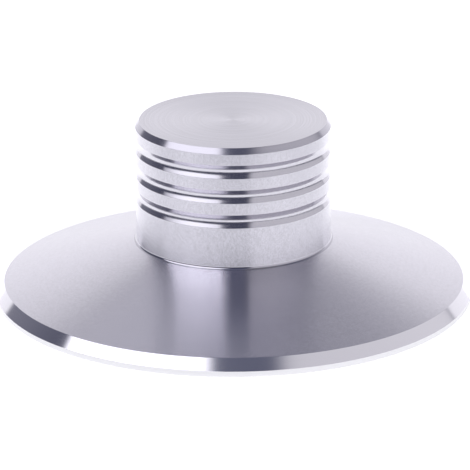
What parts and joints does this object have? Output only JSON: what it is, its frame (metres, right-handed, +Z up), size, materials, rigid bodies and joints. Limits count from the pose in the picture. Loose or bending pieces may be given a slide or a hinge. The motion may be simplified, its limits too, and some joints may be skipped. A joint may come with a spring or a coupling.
{
  "type": "record weight",
  "caption": "Turned aluminium record weight: a wide conical skirt with a bevelled rim, a grooved round grip knob on top, and a blind spindle bore in its flat base.",
  "frame": {"origin": "centre of the flat base, on the axis that the part is turned about", "axes": "+Z up along the turning axis, from the base to the top of the knob; X and Y are equal"},
  "size_m": [0.076, 0.076, 0.029],
  "materials": {
    "turned_aluminium": "fine-turned satin skirt and top, blasted knob lands, bright-cut chamfers and grooves"
  },
  "bodies": {
    "root": {"weight_body": "turned_aluminium"}
  },
  "joints": []
}
